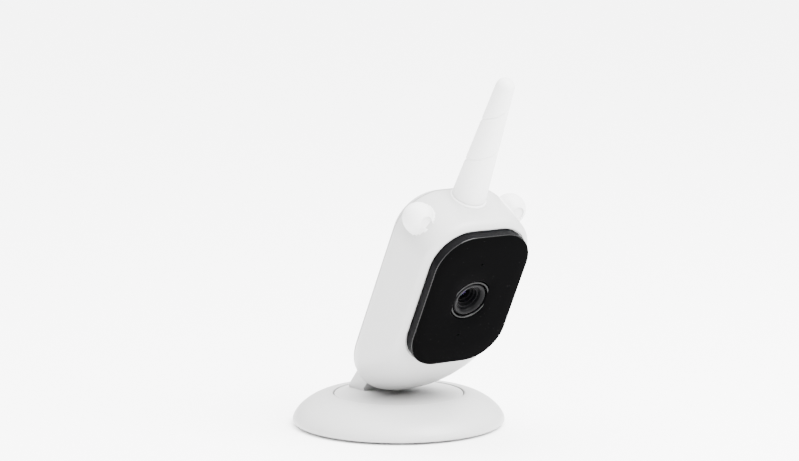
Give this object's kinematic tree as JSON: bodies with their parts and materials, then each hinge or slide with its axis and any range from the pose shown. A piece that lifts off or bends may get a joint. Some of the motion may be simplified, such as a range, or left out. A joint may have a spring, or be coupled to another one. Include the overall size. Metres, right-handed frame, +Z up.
{
  "type": "baby monitor camera",
  "caption": "Nursery camera with a tilting unicorn-shaped head, horn antenna and ears on a slanted neck, turning on a round weighted base.",
  "frame": {"origin": "on the underside of the rubber foot pad, on the swivel axis", "axes": "+Z up, along the swivel axis; the head looks along -Y; +X runs across the head to its left-hand side as it looks out"},
  "size_m": [0.09, 0.1233, 0.1534],
  "materials": {
    "white_shell": "fine satin moulded, warm white",
    "grey_plastic": "fine matte moulded",
    "black_window": "polished, infrared-clear black",
    "lens_black": "semi-gloss black with turned rings",
    "lens_glass": "coated optical glass",
    "foot_rubber": "matte",
    "steel": "zinc plated",
    "antenna_brass": "plain drawn",
    "circuit_board": "solder mask green",
    "chip_black": "moulded epoxy black",
    "led_epoxy": "clear tinted epoxy"
  },
  "bodies": {
    "base": {"base_shell": "white_shell", "base_plate": "grey_plastic", "rubber_foot_pad": "foot_rubber", "ballast_ring": "steel", "base_screw_1": "steel", "base_screw_2": "steel", "base_screw_3": "steel"},
    "swivel": {"turntable": "white_shell", "swivel_retainer": "steel", "swivel_screw": "steel", "neck_bracket": "white_shell", "neck_screw_left": "steel", "neck_screw_right": "steel"},
    "head": {"front_housing": "white_shell", "back_cover": "white_shell", "left_ear": "white_shell", "right_ear": "white_shell", "antenna_horn": "white_shell", "antenna_collar": "white_shell", "antenna_element": "antenna_brass", "cover_screw_1": "steel", "cover_screw_2": "steel", "cover_screw_3": "steel", "cover_screw_4": "steel", "face_panel": "black_window", "lens_ring": "lens_black", "lens_barrel": "lens_black", "lens_front_glass": "lens_glass", "lens_rear_glass": "lens_glass", "lens_holder": "lens_black", "image_sensor": "chip_black", "led_board": "circuit_board", "infrared_led_1": "led_epoxy", "infrared_led_2": "led_epoxy", "infrared_led_3": "led_epoxy", "infrared_led_4": "led_epoxy", "infrared_led_5": "led_epoxy", "infrared_led_6": "led_epoxy", "light_sensor": "chip_black", "microphone": "steel", "main_board": "circuit_board", "processor": "chip_black", "wireless_module": "steel", "speaker": "chip_black", "rear_board": "circuit_board", "ribbon_cable": "grey_plastic", "inlet_socket": "steel", "button_switch": "chip_black", "slide_switch": "steel", "tilt_pin": "steel", "tilt_pin_clip": "steel", "tilt_washer_left": "foot_rubber", "tilt_washer_right": "foot_rubber"},
    "pair_button": {"pair_button": "grey_plastic"},
    "power_knob": {"power_switch_knob": "grey_plastic"}
  },
  "joints": [
    {"name": "swivel_turn", "type": "hinge", "parent": "base", "child": "swivel", "pos_m": [0, 0, 0.0113], "axis": [0, 0, 1], "range_deg": [-170, 170]},
    {"name": "head_tilt", "type": "hinge", "parent": "swivel", "child": "head", "pos_m": [0, 0, 0.032], "axis": [-1, 0, 0], "range_deg": [-12, 40]},
    {"name": "pair_button_press", "type": "slide", "parent": "head", "child": "pair_button", "axis": [0, -0.8829, -0.4695], "range_m": [0, 0.0008], "stiffness_N_per_m": 900, "springref_m": -0.0008},
    {"name": "power_switch_slide", "type": "slide", "parent": "head", "child": "power_knob", "axis": [1, 0, 0], "range_m": [0, 0.003]}
  ]
}
